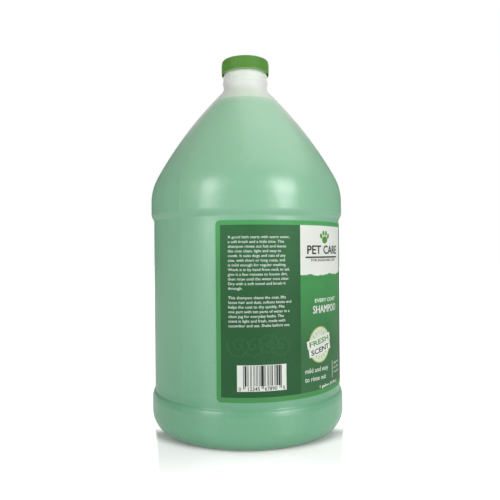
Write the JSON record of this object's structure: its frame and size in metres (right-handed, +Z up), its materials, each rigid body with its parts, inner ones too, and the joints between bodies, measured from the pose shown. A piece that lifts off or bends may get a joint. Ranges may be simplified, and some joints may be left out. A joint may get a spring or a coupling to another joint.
{
  "type": "shampoo bottle",
  "caption": "Large round moulded shampoo bottle with a ribbed screw cap, wrap label and recessed label panel, standing free.",
  "frame": {"origin": "centre of the bottle's foot, on the surface that it stands on", "axes": "+Z up along the bottle's axis towards the cap, -Y towards the front of the label"},
  "size_m": [0.1524, 0.1524, 0.2921],
  "materials": {
    "bottle": "translucent natural polyethylene",
    "cap": "satin moulded green",
    "liner": "matte foam",
    "shampoo": "pale green liquid",
    "label": "printed film"
  },
  "bodies": {
    "bottle": {"bottle": "bottle", "shampoo": "shampoo", "label": "label"},
    "liner": {"cap_liner": "liner"},
    "cap": {"cap": "cap"}
  },
  "joints": [
    {"name": "cap_rise", "type": "slide", "parent": "bottle", "child": "liner", "axis": [0, 0, 1], "range_m": [0, 0.0128]},
    {"name": "cap_turn", "type": "hinge", "parent": "liner", "child": "cap", "pos_m": [0, 0, 0.2817], "axis": [0, 0, 1], "range_deg": [0, 1080]}
  ],
  "couplings": [
    {"joint": "cap_rise", "follows": "cap_turn", "m_per_rad": 0.00067376}
  ]
}
